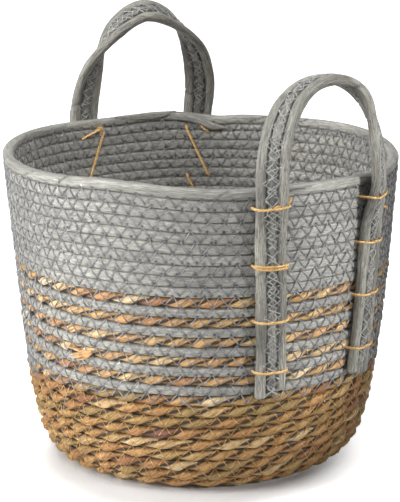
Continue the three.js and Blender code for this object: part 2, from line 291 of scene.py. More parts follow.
def settled(points):
    azimuth = np.degrees(np.arctan2(points[..., 0], -points[..., 1]))
    share = np.clip(points[..., 2] / WALL_HEIGHT, 0, 1)
    turn = np.radians(azimuth)
    rise = -LEFT_RISE * share * np.sin(turn)
    rise += around_the_basket(turn, share, RISE_WAVES)
    for middle, width, swell, start in RIM_SWELLS:
        aside = (azimuth - middle + 180) % 360 - 180
        rise += swell * smooth((share - start) / (1 - start)) * np.exp(-((aside / width) ** 2))
    out = around_the_basket(turn, share, OUT_WAVES)
    foot = np.clip(1 - points[..., 2] / FOOT_HEIGHT, 0, 1)
    moved = points + radial(azimuth) * out[..., None] + foot[..., None] * np.array(FOOT_SHIFT)
    moved[..., 2] += rise
    return moved


# Laying the ropes, each step on top of what lies at its azimuth


def steps_for(distance, rise):
    return round(CAD_TURN * distance / rise) * (TURN // CAD_TURN)


class Laying:
    def __init__(self):
        self.piled = BASE_RADIUS - NATURAL_HEIGHT + NATURAL_HEIGHT * np.arange(TURN) / TURN
        self.rows = {}

    def lay(self, name, index, height, share):
        row = self.rows.setdefault(name, dict(index=[], bottom=[], top=[], share=[]))
        slot = index % TURN
        row["index"].append(index)
        row["bottom"].append(self.piled[slot])
        self.piled[slot] += height * share
        row["top"].append(self.piled[slot])
        row["share"].append(share)


def taper(step):
    return mix(TAPERED_END, 1, min(step / TAPER_STEPS, 1))


def measure(row):
    row["along"] = run_along(wall_points(row["azimuth"], (row["bottom"] + row["top"]) / 2, 0.0))


def laid_rows():
    laying = Laying()
    lower_steps = steps_for(distance_at(STRIPE_FLOOR) - BASE_RADIUS + NATURAL_HEIGHT, NATURAL_HEIGHT)
    stripe_steps = steps_for(STRIPE_BAND, BAND_GREY_HEIGHT + STRIPE_HEIGHT) + steps_for(0.15, 1)
    for index in range(lower_steps + 1):
        laying.lay("lower", index, NATURAL_HEIGHT, 1)
    cursor = lower_steps + 1
    for step in range(stripe_steps):
        laying.lay("grey", cursor, BAND_GREY_HEIGHT, 1)
        laying.lay("stripe", cursor, STRIPE_HEIGHT, min(taper(step), taper(stripe_steps - 1 - step)))
        cursor += 1
    left = LINE_LENGTH - RIM_HEIGHT - laying.piled.mean()
    upper_steps = steps_for(left, GREY_HEIGHT) + TAPER_STEPS // 2
    for step in range(upper_steps):
        laying.lay("grey", cursor, GREY_HEIGHT, taper(upper_steps - 1 - step))
        cursor += 1
    drawn = (LINE_LENGTH - BASE_RADIUS) / (laying.piled + RIM_HEIGHT - BASE_RADIUS)
    for step in range(TURN + 1):
        laying.lay("rim", cursor + step, RIM_HEIGHT if step < TURN else 0, 1)
    laying.rows["rim"]["bottom"][-1] = laying.rows["rim"]["bottom"][0]
    laying.rows["rim"]["top"][-1] = laying.rows["rim"]["top"][0]
    for row in laying.rows.values():
        index = np.array(row["index"])
        scale = drawn[index % TURN]
        for edge in ("bottom", "top"):
            raw = np.array(row[edge])
            level = np.where(raw > BASE_RADIUS, BASE_RADIUS + (raw - BASE_RADIUS) * scale, raw)
            row[edge] = moving_mean(level, EDGE_WINDOW)
        row["share"] = np.array(row["share"])
        row["azimuth"] = SPLICE_AZIMUTH + (lower_steps - index) * 360 / TURN
        measure(row)
    return laying.rows


rows = laid_rows()


# Meshes


def placed(name, data):
    thing = bpy.data.objects.new(name, data)
    bpy.context.scene.collection.objects.link(thing)
    return thing


class Strands:
    """Closed tubes gathered into one mesh, with what their materials read."""

    def __init__(self):
        self.points, self.quads, self.triangles = [], [], []
        self.flow, self.tone, self.pit = [], [], []
        self.count = 0

    # The last value is the shade painted into the colour, from none up to nearly black.
    def add(self, rings, flow, tone=0.5, pit=0.0):
        stations, sides = rings.shape[:2]
        first = np.arange(stations - 1)[:, None] * sides
        side = np.arange(sides)[None, :]
        after = (side + 1) % sides
        quads = np.stack([first + side, first + after, first + sides + after, first + sides + side], -1)
        quads = quads.reshape(-1, 4)
        last = (stations - 1) * sides
        ends = stations * sides
        side = side[0]
        after = after[0]
        start_cap = np.stack([np.full(sides, ends), after, side], 1)
        end_cap = np.stack([np.full(sides, ends + 1), last + side, last + after], 1)
        triangles = np.concatenate([start_cap, end_cap])
        points = np.concatenate([rings.reshape(-1, 3), [rings[0].mean(0), rings[-1].mean(0)]])
        if self.turned_in(points, quads):
            quads = quads[:, ::-1]
            triangles = triangles[:, ::-1]
        self.points.append(points)
        self.quads.append(quads + self.count)
        self.triangles.append(triangles + self.count)
        self.flow.append(np.concatenate([flow.reshape(-1, 3), [flow[0].mean(0), flow[-1].mean(0)]]))
        for held, value in ((self.tone, tone), (self.pit, pit)):
            spread = np.broadcast_to(value, rings.shape[:2])
            held.append(np.concatenate([spread.ravel(), [spread[0].mean(), spread[-1].mean()]]))
        self.count += len(points)

    @staticmethod
    def turned_in(points, quads):
        near = points - points.mean(0)
        a, b, c = (near[quads[:, corner]] for corner in range(3))
        return np.einsum("ij,ij->", a, np.cross(b, c)) < 0

    def piece(self, name, material, slot):
        points = settled(np.concatenate(self.points))
        # What the waves push under the floor is pressed flat on it.
        points[:, 2] = np.maximum(points[:, 2], 0)
        quads = np.concatenate(self.quads)
        triangles = np.concatenate(self.triangles)
        mesh = bpy.data.meshes.new(name)
        corners = np.concatenate([quads.ravel(), triangles.ravel()]).astype(np.int32)
        starts = np.append(np.arange(len(quads)) * 4, len(quads) * 4 + np.arange(len(triangles)) * 3)
        starts = starts.astype(np.int32)
        mesh.vertices.add(len(points))
        mesh.vertices.foreach_set("co", (points * MM).astype(np.float32).ravel())
        mesh.loops.add(len(corners))
        mesh.loops.foreach_set("vertex_index", corners)
        mesh.polygons.add(len(starts))
        mesh.polygons.foreach_set("loop_start", starts)
        mesh.update(calc_edges=True)
        mesh.validate()
        mesh.polygons.foreach_set("use_smooth", np.ones(len(mesh.polygons), bool))
        flow = mesh.attributes.new("flow", "FLOAT_VECTOR", "POINT")
        flow.data.foreach_set("vector", np.concatenate(self.flow).astype(np.float32).ravel())
        for label, held in (("tone", self.tone), ("pit", self.pit)):
            values = mesh.attributes.new(label, "FLOAT", "POINT")
            values.data.foreach_set("value", np.concatenate(held).astype(np.float32))
        thing = placed(name, mesh)
        mesh.materials.append(material)
        return thing


# A piece that stays with the basket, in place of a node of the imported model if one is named
def basket_piece(strands, name, material, slot, node=None):
    piece = strands.piece(name, material, slot)
    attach(piece, "basket")
    if node:
        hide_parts(node)


# A round strand along a path. "outward" is a direction near the strand's outer side.
def swept(path, outward, radius, sides=8):
    aside, up = frame_along(path, outward)
    angle = np.broadcast_to(corner_angles(sides), (len(path), sides))
    radius = np.broadcast_to(np.asarray(radius, float).reshape(-1, 1), (len(path), 1))
    local = np.stack([radius * np.cos(angle), radius * np.sin(angle)], -1)
    rings = path[:, None] + aside[:, None] * local[..., :1] + up[:, None] * local[..., 1:]
    run = run_along(path)
    flow = np.concatenate([np.broadcast_to(run[:, None, None], (len(path), sides, 1)), local], -1)
    return rings, flow


# How far the ropes stand out of the wall, by azimuth and distance, on the outside and the inside
class Relief:
    PER_DEGREE = 4
    PER_MM = 1.25

    def __init__(self):
        self.shape = (360 * self.PER_DEGREE, int((LINE_LENGTH + 12) * self.PER_MM))
        self.out = np.full(self.shape, -9.0)
        self.back = np.full(self.shape, -9.0)

    def cell(self, azimuth, distance):
        across = np.floor(azimuth * self.PER_DEGREE).astype(int) % self.shape[0]
        up = np.clip((distance * self.PER_MM).astype(int), 0, self.shape[1] - 1)
        return across, up

    def note(self, azimuth, distance, offset):
        place = self.cell(azimuth, distance)
        np.maximum.at(self.out, place, offset)
        np.maximum.at(self.back, place, -offset)

    def close(self):
        for grid in (self.out, self.back):
            for _ in range(4):
                for axis in (0, 1):
                    wide = np.maximum(np.roll(grid, 1, axis), np.roll(grid, -1, axis))
                    grid[:] = np.where(grid < 0, wide, grid)
            grid[:] = np.maximum(grid, 2.0)

    def height(self, azimuth, distance, inside):
        grid = self.back if inside else self.out
        return grid[self.cell(azimuth, distance)]


relief = Relief()

# How far a hole strays along its seam, in half periods, and across it, in millimetres
HOLE_SPREAD = 0.13
HOLE_SCATTER = 0.35


# Where the needle goes through the wall: along the bottom of a row, by turns above and below it
def needle_holes(row, period, above, below):
    start, end = row["along"][0], row["along"][-1]
    count = int((end - start) / (period / 2))
    at = start + (np.arange(count) + random.uniform(-HOLE_SPREAD, HOLE_SPREAD, count)) * period / 2
    azimuth = np.interp(at, row["along"], row["azimuth"])
    seam = np.interp(at, row["along"], row["bottom"])
    high = np.arange(count) % 2 == 0
    distance = seam + np.where(high, above, -below) + random.normal(0, HOLE_SCATTER, count)
    return dict(azimuth=azimuth, distance=distance)


# Azimuth and distance at places on a zigzag, where whole numbers are its holes
def on_zigzag(needle, place):
    holes_at = np.arange(len(needle["azimuth"]))
    return [np.interp(place, holes_at, needle[key]) for key in ("azimuth", "distance")]


# The same shares of the way, from every hole but the last to the next
def zigzag_places(count, share):
    return (np.arange(count - 1)[:, None] + np.array(share)).ravel()


# Dimples that the needle leaves in the ropes, kept on the same grid as the relief
class Dimples:
    REACH = 4

    def __init__(self):
        self.depth = np.zeros(relief.shape)

    def press(self, azimuth, distance, size, depth=1.0):
        across, up = relief.cell(azimuth, distance)
        radius = np.maximum(np.interp(distance, LINE_AT, LINE[:, 0]), 20)
        for i in range(-self.REACH, self.REACH + 1):
            for j in range(-self.REACH, self.REACH + 1):
                wide = i * np.radians(1 / Relief.PER_DEGREE) * radius
                tall = j / Relief.PER_MM
                pressed = depth * np.exp(-(wide**2 + tall**2) / (2 * size**2))
                place = (across + i) % relief.shape[0], np.clip(up + j, 0, relief.shape[1] - 1)
                np.maximum.at(self.depth, place, pressed)

    def at(self, azimuth, distance):
        return self.depth[relief.cell(azimuth, distance)]


dimples = Dimples()

CREASE_SIZE = 0.75


# Creases where the zigzag thread draws over the soft cord, apart for the outside and the inside
class Creases:
    def __init__(self):
        self.outside, self.inside = Dimples(), Dimples()

    def press(self, needle):
        last = len(needle["azimuth"]) - 1
        azimuth, distance = on_zigzag(needle, np.linspace(0, last, 9 * last + 1))
        for face in (self.outside, self.inside):
            face.press(azimuth, distance, CREASE_SIZE)

    def at(self, azimuth, distance, within):
        return np.where(within, self.inside.at(azimuth, distance), self.outside.at(azimuth, distance))


creases = Creases()


# Materials


def linear(red, green, blue):
    shown = np.array([red, green, blue]) / 255
    return (*np.where(shown <= 0.04045, shown / 12.92, ((shown + 0.055) / 1.055) ** 2.4), 1.0)


WHITE = linear(255, 255, 255)


class Nodes:
    """The node tree of a material or of the world."""

    def __init__(self, owner):
        owner.use_nodes = True
        self.tree = owner.node_tree

    def node(self, kind, **values):
        made = self.tree.nodes.new(kind)
        for label, value in values.items():
            setattr(made, label, value)
        return made

    def join(self, source, target):
        self.tree.links.new(source, target)


class Finish(Nodes):
    """A material whose nodes read the strands' flow, tone and painted shade."""

    def __init__(self, name, roughness, gloss=0.5):
        self.material = bpy.data.materials.new(name)
        super().__init__(self.material)
        self.shader = self.tree.nodes["Principled BSDF"]
        self.shader.inputs["Roughness"].default_value = roughness
        self.shader.inputs["Specular IOR Level"].default_value = gloss

    def attribute(self, label, output):
        return self.node("ShaderNodeAttribute", attribute_name=label).outputs[output]

    # Noise drawn out along the strand: few changes per millimetre along it, many around it.
    def noise(self, along, around, detail=3.0):
        stretch = self.node("ShaderNodeVectorMath", operation="MULTIPLY")
        self.join(self.attribute("flow", "Vector"), stretch.inputs[0])
        stretch.inputs[1].default_value = (along, around, around)
        grain = self.node("ShaderNodeTexNoise")
        grain.inputs["Scale"].default_value = 1.0
        grain.inputs["Detail"].default_value = detail
        self.join(stretch.outputs[0], grain.inputs["Vector"])
        return grain.outputs["Fac"]

    def ramp(self, factor, stops):
        ramp = self.node("ShaderNodeValToRGB")
        elements = ramp.color_ramp.elements
        while len(elements) < len(stops):
            elements.new(0.5)
        for element, (place, colour) in zip(elements, stops):
            element.position = place
            element.color = colour
        self.join(factor, ramp.inputs["Fac"])
        return ramp.outputs["Color"]

    def multiplied(self, factor, first, second):
        blend = self.node("ShaderNodeMix", data_type="RGBA", blend_type="MULTIPLY")
        blend.inputs[0].default_value = factor
        self.join(first, blend.inputs[6])
        self.join(second, blend.inputs[7])
        return blend.outputs[2]

    # The colour, darkened by painted shade in the needle holes, grooves, seams, creases and nicks
    def coloured(self, colour):
        dark = self.ramp(self.attribute("pit", "Fac"), [
            (0.0, WHITE),
            (0.45, (0.62, 0.62, 0.62, 1)),
            (1.0, (0.05, 0.045, 0.04, 1)),
        ])
        self.join(self.multiplied(1.0, colour, dark), self.shader.inputs["Base Color"])

    def bumped(self, heights, distance):
        normal = None
        for height, strength in heights:
            bump = self.node("ShaderNodeBump")
            bump.inputs["Strength"].default_value = strength
            bump.inputs["Distance"].default_value = distance * MM
            self.join(height, bump.inputs["Height"])
            if normal is not None:
                self.join(normal, bump.inputs["Normal"])
            normal = bump.outputs["Normal"]
        self.join(normal, self.shader.inputs["Normal"])
        return self.material


# Leaf rope: each visible lens of a ply is another leaf, from purple brown through ochre to cream.
def leaf_rope(name, stops):
    finish = Finish(name, 0.5, gloss=0.7)
    broad, fine = finish.noise(0.03, 0.75), finish.noise(0.12, 3.4, 4.0)
    leaf = finish.ramp(finish.attribute("tone", "Fac"), stops)
    strips = finish.ramp(broad, [
        (0.30, linear(150, 118, 78)),
        (0.50, linear(222, 206, 180)),
        (0.72, linear(255, 250, 238)),
    ])
    colour = finish.multiplied(0.8, leaf, strips)
    fibres = finish.ramp(fine, [(0.36, linear(132, 100, 66)), (0.54, WHITE)])
    colour = finish.multiplied(0.75, colour, fibres)
    finish.coloured(colour)
    return finish.bumped([(broad, 0.9), (fine, 0.6)], 0.7)


LEAVES = [
    (0.00, linear(130, 82, 64)),
    (0.025, linear(160, 110, 70)),
    (0.06, linear(186, 140, 82)),
    (0.35, linear(206, 164, 104)),
    (0.60, linear(196, 162, 100)),
    (0.78, linear(172, 150, 94)),
    (0.86, linear(218, 190, 134)),
    (1.00, linear(244, 228, 188)),
]
STRIPE_LEAVES = [
    (0.00, linear(176, 120, 80)),
    (0.05, linear(210, 160, 104)),
    (0.40, linear(236, 198, 140)),
    (0.65, linear(222, 188, 124)),
    (0.80, linear(246, 220, 168)),
    (1.00, linear(254, 242, 212)),
]


# Grey cord: paper-like fibre, drawn lengthwise, in warm and cool greys
def grey_fibre(name, dark, pale, along, around, bump, veins):
    finish = Finish(name, 0.52, gloss=0.9)
    base = finish.ramp(finish.attribute("tone", "Fac"), [(0.0, dark), (1.0, pale)])
    patches = finish.ramp(finish.noise(along, around * 0.3), [
        (0.32, linear(196, 194, 192)),
        (0.60, linear(255, 255, 253)),
    ])
    colour = finish.multiplied(0.8, base, patches)
    grain = finish.noise(along * 2.5, around, 5.0)
    fibres = finish.ramp(grain, [(0.36, linear(176, 173, 170)), (0.58, WHITE)])
    colour = finish.multiplied(0.7, colour, fibres)
    long_grain = finish.noise(along * 1.3, around * 0.42, 2.0)
    lines = finish.ramp(long_grain, [(0.455, WHITE), (0.5, linear(92, 88, 82)), (0.545, WHITE)])
    finish.coloured(finish.multiplied(veins, colour, lines))
    heights = [(patches, 0.5), (fibres, 0.8), (lines, 0.7 * veins)]
    return finish.bumped(heights, bump)


def thread_finish(name, dark, pale, roughness):
    finish = Finish(name, roughness)
    colour = finish.ramp(finish.noise(0.25, 1.2), [(0.35, dark), (0.65, pale)])
    finish.coloured(colour)
    return finish.bumped([(finish.noise(1.6, 3.0), 0.5)], 0.25)


natural_leaf = leaf_rope("natural_leaf", LEAVES)
stripe_leaf = leaf_rope("stripe_leaf", STRIPE_LEAVES)
wall_fibre = grey_fibre("wall_fibre", linear(150, 150, 145), linear(176, 175, 168), 0.10, 1.6, 0.5, 0.25)
rim_fibre = grey_fibre("rim_fibre", linear(158, 158, 151), linear(182, 181, 173), 0.05, 1.8, 0.6, 0.5)
strap_fibre = grey_fibre("strap_fibre", linear(122, 121, 114), linear(190, 188, 177), 0.04, 2.2, 0.7, 0.85)
grey_thread = thread_finish("grey_thread", linear(106, 107, 108), linear(168, 169, 171), 0.25)
strap_yarn = thread_finish("strap_yarn", linear(130, 131, 130), linear(186, 186, 181), 0.35)
pale_thread = thread_finish("pale_thread", linear(124, 126, 128), linear(172, 174, 176), 0.4)
gold_thread = thread_finish("gold_thread", linear(150, 110, 54), linear(212, 168, 96), 0.35)
twine_leaf = thread_finish("twine_leaf", linear(190, 146, 84), linear(236, 200, 136), 0.5)


# Coils


# A row's azimuths, run, middles, half heights and half depths, at the steps that are picked
def measures(row, pick, thickness):
    middle = (row["bottom"] + row["top"]) / 2
    half = (row["top"] - row["bottom"]) / 2
    deep = thickness / 2 * (0.5 + 0.5 * row["share"])
    return [values[pick] for values in (row["azimuth"], row["along"], middle, half, deep)]


# Two plies wound round each other. Shade is painted into the groove where they meet, into the seams
# between rows and into the needle dimples.
def two_ply(strands, row, thickness, pitch, sides=16, every=2):
    azimuth, along, middle, half, deep = measures(row, slice(None, None, every), thickness)
    angle = corner_angles(sides)
    lead = PLY_SWAY * waves(along, 260)
    for ply in range(2):
        phase = 2 * np.pi * along / pitch + np.pi * ply + lead
        lens = np.floor(phase / (2 * np.pi) + 0.25).astype(int)
        count = lens.max() + 2 - lens.min()
        tone = random.random(count)[lens - lens.min()]
        girth = 1 + random.normal(0, PLY_GIRTH_SPREAD, count)[lens - lens.min()]
        girth = moving_mean(girth, PLY_GIRTH_WINDOW)
        puff = girth * (1 - PLY_PUFF * np.cos(2 * phase)) * (1 + 0.03 * waves(along, 45))
        ridge = ridged(angle, along, PLY_RIDGES)
        near = PLY_NEAR * np.cos(angle) * ridge * puff[:, None]
        wide = PLY_WIDE * np.sin(angle) * ridge * puff[:, None]
        cosine, sine = np.cos(phase)[:, None], np.sin(phase)[:, None]
        rise = ((PLY_STEM + near) * cosine - wide * sine) * half[:, None]
        out = ((PLY_STEM + near) * sine + wide * cosine) * deep[:, None]
        distance = middle[:, None] + rise
        reach = np.hypot(rise / half[:, None], out / deep[:, None])
        around = azimuth[:, None] + 0 * rise
        pit = dimples.at(around, distance) * smooth((reach - 0.4) / 0.4)
        out = out * (1 - PLY_DENT * pit)
        seam = 0.55 * smooth((np.abs(rise) / half[:, None] - 0.7) / 0.25)
        painted_groove_shade = np.maximum(smooth((0.75 - reach) / 0.4), seam)
        rings = wall_points(around, distance, out)
        run = along[:, None] + PLY_SHIFT * ply + 0 * rise
        flow = np.stack([run, near * half[:, None], wide * half[:, None]], -1)
        relief.note(around, distance, out)
        strands.add(rings, flow, tone=tone[:, None], pit=np.maximum(painted_groove_shade, 0.8 * pit))
    # A core, painted dark as shade, closes the gaps between the plies.
    turn = corner_angles(8)
    rise = PLY_CORE * half[:, None] * np.cos(turn)
    out = 0.3 * deep[:, None] * np.sin(turn)
    rings = wall_points(azimuth[:, None] + 0 * rise, middle[:, None] + rise, out)
    strands.add(rings, np.zeros(rings.shape), tone=0.2, pit=0.95)


# How much of a row's height its cord fills
CORD_FILL = 0.998

# Places on a flattened section, over half the row's height, closer at the seams
FRONT_PLACES = (0, 0.2, 0.4, 0.6, 0.77, 0.9, 0.975)
BACK_PLACES = (0, 0.3, 0.58, 0.8, 0.95)


def flat_section(power):
    def face(heights):
        whole = np.array([-height for height in heights[:0:-1]] + list(heights))
        return whole, (1 - np.abs(whole) ** power) ** (1 / power)

    up, out = face(FRONT_PLACES)
    down, inside = face(BACK_PLACES)
    rise = np.concatenate([up, [1.0], down[::-1], [-1.0]])
    stand = np.concatenate([out, [0.0], -inside[::-1], [0.0]])
    return rise, stand


# A soft cord, sewn flat, that dips at the needle holes and under the thread. Shade is painted into
# these dips and into the grooves at its seams; seam sets how dark the outer grooves are painted.
def stitched_cord(strands, row, thickness, first, last, power=4.2, press=1.3, seam=0.5):
    azimuth, along, middle, half, deep = measures(row, slice(first, last), thickness)
    deep = deep * (1 + 0.03 * waves(along, 70))
    up, out = flat_section(power)
    rise = up * CORD_FILL * half[:, None]
    distance = middle[:, None] + rise
    around = azimuth[:, None] + 0 * rise
    pit = dimples.at(around, distance)
    pressed = creases.at(around, distance, out < 0)
    stand = out * deep[:, None]
    face = np.sign(stand) * np.minimum(np.abs(out) * 1.4, 1)
    stand = stand - face * (pit * press + pressed * 0.4)
    rings = wall_points(around, distance, stand)
    flow = np.stack([along[:, None] + 0 * rise, rise, stand], -1)
    relief.note(around, distance, stand)
    tone = 0.5 + 0.3 * waves(along, 150)
    # Painted shade in the seam grooves, darker on the inside, and in the holes and thread creases
    painted_groove_shade = np.where(out < 0, 0.75, seam) * smooth((0.7 - np.abs(out)) / 0.5)
    dark = np.maximum(np.maximum(pit, 0.62 * pressed), painted_groove_shade)
    strands.add(rings, flow, tone=tone[:, None], pit=dark)


def base_row():
    turns = (BASE_RADIUS - NATURAL_HEIGHT - 1) / NATURAL_HEIGHT
    index = np.arange(-int(turns * TURN), 1)
    bottom = BASE_RADIUS - NATURAL_HEIGHT + NATURAL_HEIGHT * index / TURN
    azimuth = rows["lower"]["azimuth"][0] - index * 360 / TURN
    row = dict(azimuth=azimuth, bottom=bottom, top=bottom + NATURAL_HEIGHT, share=np.ones(len(index)))
    measure(row)
    return row


rows["base"] = base_row()

# Needle holes are settled before the cords, so that the cords can dip at them.
GREY_PERIOD = 13.8
GOLD_PERIOD = 13.2
holes = {
    "grey": needle_holes(rows["grey"], GREY_PERIOD, 2.0, 7.6),
    "stripe": needle_holes(rows["stripe"], GREY_PERIOD, 2.2, 7.4),
    "lower": needle_holes(rows["lower"], GOLD_PERIOD, 1.8, 6.8),
    "rim": needle_holes(rows["rim"], GREY_PERIOD, 1.8, 7.6),
    "base": needle_holes(rows["base"], GOLD_PERIOD, 1.8, 6.8),
}
for name, needle in holes.items():
    dimples.press(needle["azimuth"], needle["distance"], 0.9)
    if name in ("grey", "stripe", "rim"):
        creases.press(needle)


# Slanting lines where the wrap of the rim overlaps itself, each from a low to a high end. They are
# pressed in as creases, which dent the cords there and paint shade on them.
OUTSIDE_OVERLAPS = (((-42, 287), (-38.5, 295)), ((22.5, 289), (30.25, 290.5)))
INSIDE_OVERLAPS = (((163, 286), (156, 294.5)), ((144.5, 289.5), (140.75, 295)), ((104, 285), (98, 294)))
STRAY_OVERLAPS = 26


def overlap_lines():
    def draw(face, low, high, depth):
        share = np.linspace(0, 1, 40)
        height = mix(low[1], high[1], share)
        distance = LINE_LENGTH - (WALL_HEIGHT - height)
        face.press(mix(low[0], high[0], share), distance, 0.6, depth)

    for face, ends in ((creases.outside, OUTSIDE_OVERLAPS), (creases.inside, INSIDE_OVERLAPS)):
        for low, high in ends:
            draw(face, low, high, 1.8)
    foot = WALL_HEIGHT - RIM_HEIGHT
    for number in range(STRAY_OVERLAPS):
        face, lean = ((creases.outside, 1), (creases.inside, -1))[number % 2]
        start = random.uniform(0, 360)
        end = start + lean * random.uniform(3, 8)
        draw(face, (start, foot), (end, WALL_HEIGHT), random.uniform(0.6, 1.3))


overlap_lines()

# Gaps in the wall, pressed in as dimples with painted shade: azimuth, height and size
GAPS = (
    (-34.2, 133, 2.6),
    (-66.5, 191, 3),
    (-67, 185, 3.6),
    (-67.6, 178, 3.2),
    (-66, 147, 3.4),
    (-66.6, 140, 3.4),
)
for azimuth, height, size in GAPS:
    dimples.press(np.array([azimuth]), np.array([distance_at(height)]), size)

GREY_PARTS = 5


def coil_pieces():
    base, lower, stripe, rim = (Strands() for _ in range(4))
    two_ply(base, rows["base"], NATURAL_THICKNESS, NATURAL_PITCH, sides=12, every=4)
    basket_piece(base, "base_spiral", natural_leaf, "natural_rope", "base_coil")
    two_ply(lower, rows["lower"], NATURAL_THICKNESS, NATURAL_PITCH)
    basket_piece(lower, "lower_wall_rope", natural_leaf, "natural_rope", "lower_wall_coil")
    two_ply(stripe, rows["stripe"], STRIPE_THICKNESS, STRIPE_PITCH)
    basket_piece(stripe, "stripe_rope", stripe_leaf, "stripe_rope", "stripe_rope_coil")
    count = len(rows["grey"]["along"])
    for part in range(GREY_PARTS):
        grey = Strands()
        first = part * count // GREY_PARTS
        last = (part + 1) * count // GREY_PARTS + 1
        stitched_cord(grey, rows["grey"], GREY_THICKNESS, first, last)
        basket_piece(grey, f"grey_wall_cord_{part + 1}", wall_fibre, "grey_cord", "grey_wall_coil")
    stitched_cord(rim, rows["rim"], RIM_THICKNESS, 0, TURN + 1, power=2.9, press=0.6, seam=0.3)
    basket_piece(rim, "rim_wrap", rim_fibre, "rim_wrap", "rim_cord")


coil_pieces()
relief.close()


# Where a stitch is measured, as shares of the way between its two holes, and how deep it goes in
STITCH_PLACES = (0, 0.1, 0.25, 0.42, 0.58, 0.75, 0.9)
STITCH_SINK = 0.5


# Sewing thread, in zigzags from hole to hole. It is drawn tight, so between two holes it bridges
# the hollows: its height is the upper hull of what lies under it.
def stitches(strands, needle, radius, inside):
    steps = len(STITCH_PLACES)
    azimuth, distance = on_zigzag(needle, zigzag_places(len(needle["azimuth"]), STITCH_PLACES))
    under = relief.height(azimuth, distance, inside) + radius
    under = under.reshape(-1, steps)
    under[:, 0] -= radius + STITCH_SINK
    ends = np.concatenate([under[1:, :1], under[-1:, :1]])
    whole = np.concatenate([under, ends], 1)
    spots = np.append(STITCH_PLACES, 1.0)
    hull = whole.copy()
    for i in range(steps + 1):
        for j in range(i + 2, steps + 1):
            for k in range(i + 1, j):
                part = (spots[k] - spots[i]) / (spots[j] - spots[i])
                hull[:, k] = np.maximum(hull[:, k], mix(whole[:, i], whole[:, j], part))
    offset = hull[:, :-1].ravel()
    side = -1 if inside else 1
    path = wall_points(azimuth, distance, side * offset)
    strands.add(*swept(path, radial(azimuth) * side, radius, 6))


def thread_pieces():
    made = {
        "grey_seam_thread": (("grey", "stripe", "rim"), 0.52, grey_thread, "grey_cord"),
        "gold_seam_thread": (("lower", "base"), 0.37, gold_thread, "natural_rope"),
    }
    for name, (seams, radius, material, slot) in made.items():
        for inside in (False, True):
            strands = Strands()
            for seam in seams:
                stitches(strands, holes[seam], radius, inside)
            basket_piece(strands, f"{name}_{'inside' if inside else 'outside'}", material, slot)


thread_pieces()


# Straps


def bezier(points, share):
    share = share[:, None]
    back = 1 - share
    a, b, c, d = points
    place = back**3 * a + 3 * back**2 * share * b + 3 * back * share**2 * c + share**3 * d
    slope = 3 * back**2 * (b - a) + 6 * back * share * (c - b) + 3 * share**2 * (d - c)
    return place, unit(slope)


# Points on the strap, with the direction in which its face looks and the direction across the cords
def framed(middle, along, face):
    return dict(middle=middle, face=face, edge=unit(np.cross(along, face)))


# One half of the free arch, from the rim to the crown. The side is -1 on the left and 1 on the right.
def arch_half(handle, side, share):
    leg = handle["legs"]["left" if side < 0 else "right"]
    reach = RIM_RADIUS + STRAP_SEAT
    half_chord = reach * np.sin(np.radians(handle["half_spread"]))
    chord_distance = reach * np.cos(np.radians(handle["half_spread"]))
    crown = np.array([handle["crown_shift"], handle["height"]])
    flat, slope = bezier([
        np.array([side * half_chord, 0]),
        np.array([side * (half_chord + leg["bulge"]), handle["leg_reach"]]),
        crown + [side * handle["crown_reach"], 0],
        crown,
    ], share)
    slope = -side * slope
    across = tangential(handle["azimuth"])
    out = radial(handle["azimuth"])
    lean = handle["lean"] * (flat[:, 1:] / handle["height"]) ** 1.5
    middle = across * flat[:, :1] + out * (chord_distance + lean) + UP * (WALL_HEIGHT + flat[:, 1:])
    along = across * slope[:, :1] + UP * slope[:, 1:]
    outside = -across * slope[:, 1:] + UP * slope[:, :1]
    twist = smooth(flat[:, 1:] / handle["turn_height"]) ** leg["twist"]
    turn = np.radians(mix(handle["rim_turn"], handle["crown_turn"], twist))
    return framed(middle, along, outside * np.cos(turn) + out * np.sin(turn))


def leg_azimuth(handle, leg, height):
    share = (WALL_HEIGHT - height) / (WALL_HEIGHT - LEG_FOOT)
    return handle["azimuth"] + leg["side"] * handle["half_spread"] + leg["drift"] * share


def leg_frame(handle, leg, height):
    side = leg["side"]
    peel = smooth((height - (WALL_HEIGHT - PEEL_DEPTH)) / PEEL_DEPTH)
    reach = mix(outer_radius(height) + CORD_DIAMETER / 2, RIM_RADIUS + STRAP_SEAT, peel)
    turn = np.radians(mix(90 - handle["half_spread"], handle["rim_turn"], peel))[:, None]
    face = tangential(handle["azimuth"]) * side * np.cos(turn) + radial(handle["azimuth"]) * np.sin(turn)
    along = np.zeros_like(face) + [0, 0, -side]
    return framed(upright(leg_azimuth(handle, leg, height), reach, height), along, face)


STRAP_STEP = 1.6
STRAP_WINDOW = 9


# The whole strap, from the left foot over the arch to the right foot, in even steps
def strap_line(handle):
    height = np.linspace(LOWEST_FOOT, WALL_HEIGHT - 1, 80)
    share = np.linspace(0, 1, 120)
    rising = leg_frame(handle, handle["legs"]["left"], height), arch_half(handle, -1, share[:-1])
    falling = arch_half(handle, 1, share), leg_frame(handle, handle["legs"]["right"], height)
    whole = {
        key: np.concatenate([part[key] for part in rising] + [part[key][::-1] for part in falling])
        for key in ("middle", "face", "edge")
    }
    run = run_along(whole["middle"])
    even = np.linspace(0, run[-1], int(run[-1] / STRAP_STEP))
    line = {key: eased(resampled(even, run, value), STRAP_WINDOW) for key, value in whole.items()}
    for key in ("face", "edge"):
        line[key] = unit(line[key])
    line["run"] = even
    return line


def blend_strap(piece):
    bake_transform(piece)


def superellipse(angle, power):
    cosine, sine = np.cos(angle), np.sin(angle)
    return (
        np.sign(cosine) * np.abs(cosine) ** (2 / power),
        np.sign(sine) * np.abs(sine) ** (2 / power),
    )


CORDS = {"inner": 1, "middle": 0, "outer": -1}

STRAP_SIDES = 18
STRAP_RIDGES = ((4, 0.045, 2, 120), (7, 0.035, 3, 80))
STRAP_ROUNDING = 2.5
NICK_WIDTH = 0.9
NICK_DEPTH = 0.22
